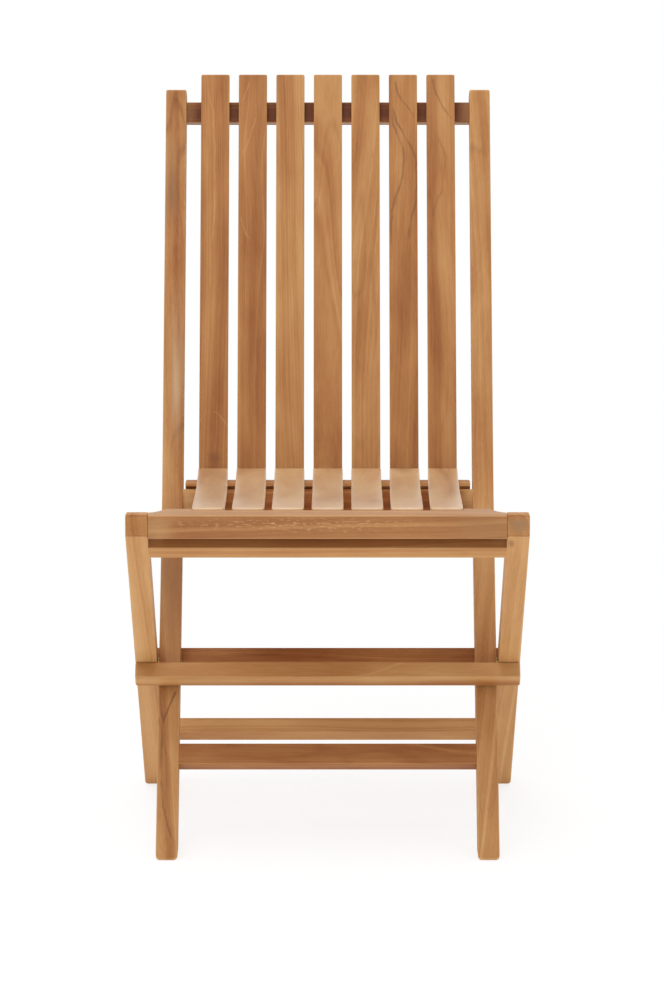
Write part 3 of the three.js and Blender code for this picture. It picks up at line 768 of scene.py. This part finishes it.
def brass_finish():
    """Dull brass: lighter and smoother in some patches, browner and duller in others."""
    material, tree = new_material("dull_brass")
    patch = noise(tree, add_node(tree, "ShaderNodeTexCoord").outputs["Object"], tarnish_size, detail=3.0)
    ramp = add_node(tree, "ShaderNodeValToRGB", Fac=patch)
    for stop, (at, colour) in zip(ramp.color_ramp.elements, (tarnished, clean_brass)):
        stop.position, stop.color = at, colour
    rough = spread(tree, patch, 0, 1, tarnished_rough, clean_rough, "LINEAR")
    metal = add_node(tree, "ShaderNodeBsdfPrincipled", Base_Color=ramp, Roughness=rough, Metallic=1.0)
    add_node(tree, "ShaderNodeOutputMaterial", Surface=metal)
    return material


dull_brass = brass_finish()


def brass(node, rings, body):
    """A brass piece that stands for its CAD node."""
    piece = skin(node + "_brass", rings)
    piece.data.materials.append(dull_brass)
    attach(piece, body)
    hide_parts(node)
    return piece


def screw(place, outward, length):
    """A countersunk screw whose head is flush at the place: rings about the outward axis, from the point up
    the shank and the cone, then in over the crown, whose height falls as the square of the radius, less the
    cross."""
    share = np.linspace(1, least_circle, head_circles)
    radius = np.concatenate([[screw_point, screw_radius, screw_radius], screw_head_radius * share])[:, None]
    foot = -np.array([length, length - 2 * screw_radius, screw_head_tall])
    height = np.concatenate([foot, screw_crown * (1 - share**2)])[:, None]
    turn = np.linspace(0, 2 * math.pi, head_turns, endpoint=False)
    u, v = radius * np.cos(turn), radius * np.sin(turn)
    in_bars = np.minimum(abs(u), abs(v)) < recess_half
    in_cross = in_bars & (radius < recess_reach) & (height > -screw_crown)
    height = height - recess_deep * in_cross
    side = np.array([1.0, 0, 0])
    other = np.cross(outward, side)
    return place + side * u[:, :, None] + other * v[:, :, None] + outward * height[:, :, None]


def rear_face_point(node, half_thick, screw_node):
    """The point of a back piece's rear face that lies straight behind the middle of a CAD screw."""
    face = box_middle(node) + panel_back * half_thick
    at = face + panel_up * ((box_middle(screw_node) - face) @ panel_up)
    return np.array([sum(box_x(screw_node)) / 2, *at])


panel_rear = np.array([0, *panel_back])
for number in slat_numbers:
    low_node, high_node = f"back_screw_low_{number}", f"back_screw_high_{number}"
    low_place = rear_face_point(f"back_slat_{number}", back_slat_thick / 2, low_node)
    high_place = rear_face_point("top_rail", top_rail_deep / 2, high_node)
    brass(low_node, screw(low_place, panel_rear, back_slat_thick + screw_bite), "front_frame")
    brass(high_node, screw(high_place, panel_rear, top_rail_deep + screw_bite), "front_frame")


# Rear legs: straight boards outside the stiles, from the seat's front corners down to the rear feet.
# Their tops are cut level and their fronts upright. Sockets hold the pivot bolts' heads and the seat's pins.
leg_tilt = math.radians(-46.63)
leg_depth = 0.030
leg_nose_drop = 0.025
rail_arris, nose_radius, heel_radius = 0.003, 0.001, 0.0012
outer_corner, seam_ease, inner_ease = 0.0027, 0.0004, 0.001
bolt_socket_radius, bolt_socket_depth = 0.0083, 0.0053
pin_hole_radius = 0.0048
leg_up, leg_back = lean_axes(leg_tilt)
leg_front = pivot - leg_back * leg_depth / 2
seat_front_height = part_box("rear_leg_left")[1].z
nose = meet_height(leg_front, leg_up, seat_front_height - leg_nose_drop)
leg_foot = meet_height(leg_front, leg_up, 0)
leg_heel = meet_height(leg_front + leg_back * leg_depth, leg_up, 0)
leg_top_rear = meet_height(leg_heel, leg_up, seat_front_height)
leg_corners = [leg_foot, leg_heel, leg_top_rear, np.array([nose[0], seat_front_height]), nose]
leg_radii = [foot_radius, foot_radius, heel_radius, rail_arris, nose_radius]
outer_eases = [corner_ease, edge_ease, outer_corner, edge_ease, edge_ease]
inner_eases = [corner_ease, inner_ease, seam_ease, seam_ease, inner_ease]
seat_hinge = np.array(frame["joints"][1]["pos_m"])[1:]
grey_block_offset, knot_offset = np.array([0, 13]), np.array([12.0, -11.5])
right_leg_marks = [
    ("patch", 0.8, (0.34, 0.20, 0.10), (222, *(nose * mm + grey_block_offset)), (19, 9, 15)),
    ("patch", 0.8, (0.30, 0.14, 0.05), (214, *(nose * mm + knot_offset)), (6, 14, 14)),
]
for hand, outer, brown, marks in (("left", 0, -0.18, []), ("right", 1, -0.16, right_leg_marks)):
    node = f"rear_leg_{hand}"
    ends = box_x(node)
    eases = (inner_eases, outer_eases) if outer else (outer_eases, inner_eases)
    rings = sawn(leg_corners, leg_radii, *ends, *eases)
    seam = ("patch", 0.8, dark_line, (sum(ends) / 2 * mm, *(nose * mm)), (40, 8, 1.0))
    leg = wood(
        node, rings, leg_tilt, "rear_frame", brown, vein=0.1, figure=0.4, end_tone=0.36, marks=[seam, *marks]
    )
    face, far = ends[outer], ends[1 - outer]
    outward = math.copysign(bolt_socket_depth, face - far)
    bore(leg, bolt_socket_radius, face - outward, face + outward, pivot)
    bore(leg, bolt_hole_radius, far - outward, face, pivot)
    bore(leg, pin_hole_radius, far - outward, face + outward, seat_hinge)


# Pivot bolts, nuts and washers, and the seat's two pins: turned brass, with six-sided sockets in heads and
# nuts. Each bolt runs from the rear leg's socket through a washer and the stile into its nut.
bolt_radius, bolt_head_radius, bolt_head_tall = 0.004, 0.008, 0.0042
nut_radius, washer_radius, pin_radius = 0.008, 0.010, 0.0045
head_rim, plug_rim, washer_rim = 0.0012, 0.0008, 0.0003
key_radius, key_deep, key_sides = 0.0035, 0.0025, 6
turned_sides, rim_steps = 48, 6


def turned(profile, centre):
    """A turned piece about an axis along x: at each profile point a circle of its radius."""
    turn = np.linspace(0, 2 * math.pi, turned_sides, endpoint=False)
    x, radius = np.array(profile).T[:, :, None]
    y, z = centre[0] + radius * np.cos(turn), centre[1] + radius * np.sin(turn)
    return np.stack(np.broadcast_arrays(x, y, z), -1)


def rim(radius, face_x, toward, soften):
    """Profile points of a flat end with a quarter-round edge: from the edge's start to the end face."""
    turn = np.linspace(0, math.pi / 2, rim_steps)
    x = face_x - toward * soften * (1 - np.sin(turn))
    return list(zip(x, radius - soften * (1 - np.cos(turn))))


def button(node, radius, centre, toward, soften):
    """A round plug between the ends of its CAD node, with the edge of its outer end rounded."""
    low_x, high_x = box_x(node)
    inner_x, face_x = (low_x, high_x) if toward > 0 else (high_x, low_x)
    return turned([(inner_x, radius), *rim(radius, face_x, toward, soften)], centre)


for hand, outer in (("left", -1), ("right", 1)):
    node = f"pivot_bolt_{hand}"
    shank_x, face_x = box_x(node)[::outer]
    seat_x = face_x - outer * bolt_head_tall
    head_edge = rim(bolt_head_radius, face_x, outer, head_rim)
    profile = [(shank_x, bolt_radius), (seat_x, bolt_radius), (seat_x, bolt_head_radius), *head_edge]
    bolt = brass(node, turned(profile, pivot), "front_frame")
    bore(bolt, key_radius, face_x - key_deep, face_x + key_deep, pivot, key_sides)
    node = f"pivot_nut_{hand}"
    face_x = box_x(node)[::outer][0]
    nut = brass(node, button(node, nut_radius, pivot, -outer, plug_rim), "front_frame")
    bore(nut, key_radius, face_x - key_deep, face_x + key_deep, pivot, key_sides)
    node = f"pivot_washer_{hand}"
    washer = brass(node, button(node, washer_radius, pivot, outer, washer_rim), "front_frame")
    bore(washer, bolt_hole_radius, *box_x(f"rear_leg_{hand}"), pivot)
    node = f"seat_pin_{hand}"
    brass(node, button(node, pin_radius, seat_hinge, outer, plug_rim), "rear_frame")


# Stop rails, rear stretcher and under rail: square rails on and between the rear legs. The stop rails lie
# before and behind the stiles and hold the chair open. The under rail is tenoned between the legs.
cross_deep, cross_tall, cross_end = 0.021, 0.022, 0.002
under_rail_deep = 0.0205
face_gap = 0.0003
stop_gap, rear_stop_slack = 0.0005, 0.005
rear_stretcher_along = 0.0719
shaded_face_rise = 0.004
over_legs = (box_x("rear_leg_left")[0], box_x("rear_leg_right")[1])
between_legs = (box_x("rear_leg_left")[1] - shoulder_sink, box_x("rear_leg_right")[0] + shoulder_sink)


def leg_rail(node, edge, shift, facing, brown):
    """A rail on a face of the rear legs: its middle lies half its depth off the face, moved along it."""
    middle = edge + leg_up * shift + leg_back * facing * cross_deep / 2
    rings = rail(middle, leg_tilt, cross_deep, cross_tall, *over_legs, cross_end)
    wood(node, rings, leg_tilt, "rear_frame", brown, vein=0.2, across=True)


leg_face = leg_foot - leg_back * face_gap
leg_rear_face = leg_foot + leg_back * (leg_depth + face_gap)
front_stop_foot = meet(stile_front - back * stop_gap, up, leg_face, leg_up)
rear_stop_foot = meet(stile_front + back * (stile_depth + stop_gap), up, leg_rear_face, leg_up)
leg_rail("front_stop_rail", front_stop_foot, cross_tall / 2, -1, brown=-0.02)
leg_rail("rear_stop_rail", rear_stop_foot, -rear_stop_slack - cross_tall / 2, 1, brown=0.16)
leg_rail("rear_stretcher", leg_rear_face, rear_stretcher_along, 1, brown=-0.12)
under_middle = box_middle("under_rail")
# Painted shade: the rail's upper face is darkened where the seat's front rail shades it.
shaded_face = (under_middle + leg_up * (cross_tall / 2 + shaded_face_rise)) * mm
under_marks = [("patch", 0.5, (0.15, 0.05, 0.015), (0, *shaded_face), (900, 14, 14))]
rings = rail(under_middle, leg_tilt, under_rail_deep, cross_tall, *between_legs, plain_end)
wood(
    "under_rail", rings, leg_tilt, "rear_frame", brown=-0.08, vein=0.1, across=True, figure=0.5,
    marks=under_marks,
)


# Seat front rail: a deep rail whose rear edge curves in beside the stiles, rebated for the slats' front
# ends. It turns on pins between the leg tops, and its top front edge is rounded.
low_arris, front_rail_end = 0.002, 0.0003
front_rail_radii = (low_arris, low_arris, low_arris, rail_arris)
relief_sweep = 0.0197
rebate_deep, rebate_half, rebate_gap = 0.0115, 0.1587, 0.0002
seat_slat_thick, slat_proud = 0.0115, 0.003
seat_fall, seat_dip, deepest = 0.0238, 0.0075, 2 / 3
slat_foot_gap = 0.0003
sweep_steps, tip_steps = 14, 4
top_highlight_rise = 0.5


def slat_top(share):
    """The height of the seat slats' tops at a share of their run: a straight fall less a cubic dip, whose
    deepest point lies two thirds of the way back."""
    dip = share**2 * (1 - share) / (deepest**2 * (1 - deepest))
    return seat_front_height + slat_proud - seat_fall * share - seat_dip * dip


def front_rail_rings():
    """The rail from one leg top to the other: a rounded rectangle from the face to the rear edge. At each
    end the rear edge runs in over the sweep to the leg tops' depth, as the square of its share."""
    low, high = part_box("seat_front_rail")
    t = np.linspace(0, 1, sweep_steps)
    end_x = np.minimum(high.x - t * relief_sweep, high.x - front_rail_end)
    leg_top_deep = leg_top_rear[0] - nose[0]
    end_depth = leg_top_deep + t**2 * (high.y - low.y - leg_top_deep)
    turn = np.linspace(0, math.pi / 2, tip_steps)[:-1]
    half_x = np.concatenate([high.x - front_rail_end * (1 - np.cos(turn)), end_x])
    half_depth = np.concatenate([np.full(len(turn), end_depth[0]), end_depth])
    half_inset = np.concatenate([front_rail_end * (1 - np.sin(turn)), np.zeros(sweep_steps)])
    x = np.concatenate([half_x, -half_x[::-1]])
    rings = []
    for place, depth, inset in zip(x, [*half_depth, *half_depth[::-1]], [*half_inset, *half_inset[::-1]]):
        rear = low.y + depth
        corners = np.array([(low.y, low.z), (rear, low.z), (rear, high.z), (low.y, high.z)])
        outline = rounded(drawn_in(corners, np.full(4, inset)), front_rail_radii)
        rings.append(np.column_stack([np.full(len(outline), place), outline]))
    return np.stack(rings)


front_rail_marks = [
    ("patch", 0.6, (0.38, 0.19, 0.07), (180, -305, 428), (52, 80, 26)),
    ("patch", 0.5, (0.58, 0.34, 0.14), (-196, -305, 426), (26, 80, 26)),
    ("flecks", 0.6, (0.68, 0.43, 0.19), (-30, -305, 432), (230, 80, 13)),
    # Painted highlight: a pale strip along the rail's top front edge.
    ("patch", 0.32, (0.72, 0.47, 0.26), (0, -290, seat_front_height * mm + top_highlight_rise), (900, 200, 3.2)),
]
front_rail = wood(
    "seat_front_rail", front_rail_rings(), 0, "seat", brown=0.12, vein=0.1, across=True, pith=0.2,
    figure=0.4, sheen=0.25, marks=front_rail_marks,
)
rail_rear_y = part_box("seat_front_rail")[1].y
slat_front_y, slat_rear_y = rail_rear_y - rebate_deep + rebate_gap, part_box("seat_slat_4")[1].y
slat_run = slat_rear_y - slat_front_y
rebate_floor = slat_top((rail_rear_y - slat_front_y) / slat_run) - seat_slat_thick - slat_foot_gap
rebate_front, rebate_rear = rail_rear_y - rebate_deep, rail_rear_y + rebate_deep
rebate_top = seat_front_height + rebate_deep
rebate_side = np.array([
    (rebate_front, rebate_floor), (rebate_rear, rebate_floor),
    (rebate_rear, rebate_top), (rebate_front, rebate_top),
])
cut_out(front_rail, moulding(rebate_side, -rebate_half, rebate_half))


# Rear batten: it holds the seat slats' rear ends together and drops into the step of the seat rail.
# A brass screw goes up through it into each slat.
batten_gap, batten_deep = 0.0008, 0.0107
hook_rise, hook_radius = 0.0032, 0.0003
batten_ease, batten_top_ease = 0.0008, 0.0026
batten_low, batten_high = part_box("seat_rear_batten")
batten_front = lip_rear[0] + batten_gap
hook_under = seat_rail_height + hook_rise
batten_corners = [
    (batten_front, batten_low.z),
    (batten_front + batten_deep, batten_low.z),
    (batten_front + batten_deep, batten_high.z),
    (batten_low.y, batten_high.z),
    (batten_low.y, hook_under),
    (batten_front, hook_under),
]
batten_radii = [edge_ease] * 5 + [hook_radius]
batten_eases = [batten_ease] * 2 + [batten_top_ease] + [batten_ease] * 3
rings = sawn(batten_corners, batten_radii, batten_low.x, batten_high.x, batten_eases, batten_eases)
wood("seat_rear_batten", rings, 0, "seat", brown=0.1, vein=0.1, across=True)
for number in slat_numbers:
    node = f"seat_screw_{number}"
    head_place = np.array([sum(box_x(node)) / 2, box_middle(node)[0], batten_low.z])
    length = batten_high.z - batten_low.z + screw_bite
    brass(node, screw(head_place, np.array([0, 0, -1.0]), length), "seat")


# Seat slats: seven boards sawn to the dish of the seat, and drawn together a little towards the front.
# Their front ends are glued in the rebate and painted paler as a sheen; their rear ends stop just before the
# back.
seat_slat_width = 0.0372
seat_draw_in = 0.0045
seat_slat_ease, seat_slat_end = 0.0012, 0.0028
slat_run_steps = 40
middle_slat, knotted_slat = 4, 6
painted_sheen_tone, knot_brown = (0.82, 0.60, 0.41), (0.36, 0.16, 0.05)
seat_browns = (-0.20, -0.26, -0.27, -0.29, -0.31, -0.26, -0.22)
share = np.linspace(0, 1, slat_run_steps)
slat_y = slat_front_y + share * slat_run
seat_lines = [np.column_stack([slat_y, slat_top(share) - drop]) for drop in (0, seat_slat_thick)]
seat_lean = math.pi / 2 + seat_fall / slat_run
for number, brown in zip(slat_numbers, seat_browns):
    rear_x = sum(box_x(f"seat_screw_{number}")) / 2
    fan = -math.atan(seat_draw_in * (number - middle_slat) / (middle_slat - 1) / slat_run)
    rings = board(*seat_lines, -seat_slat_width / 2, seat_slat_width / 2, seat_slat_end, seat_slat_ease)
    x, y = rings[..., 0].copy(), rings[..., 1] - slat_rear_y
    rings[..., 0] = rear_x + x * math.cos(fan) - y * math.sin(fan)
    rings[..., 1] = slat_rear_y + x * math.sin(fan) + y * math.cos(fan)
    # Painted sheen: the front of each slat is painted paler.
    marks = [("patch", 0.6, painted_sheen_tone, (rear_x * mm, slat_front_y * mm, 430), (44, 150, 150))]
    if number == knotted_slat:
        marks.append(("patch", 0.9, knot_brown, (rear_x * mm, slat_rear_y * mm, 420), (20, 34, 80)))
    node = f"seat_slat_{number}"
    wood(node, rings, seat_lean, "seat", brown, vein=0.4, figure=1.3, sheen=0.6, marks=marks)
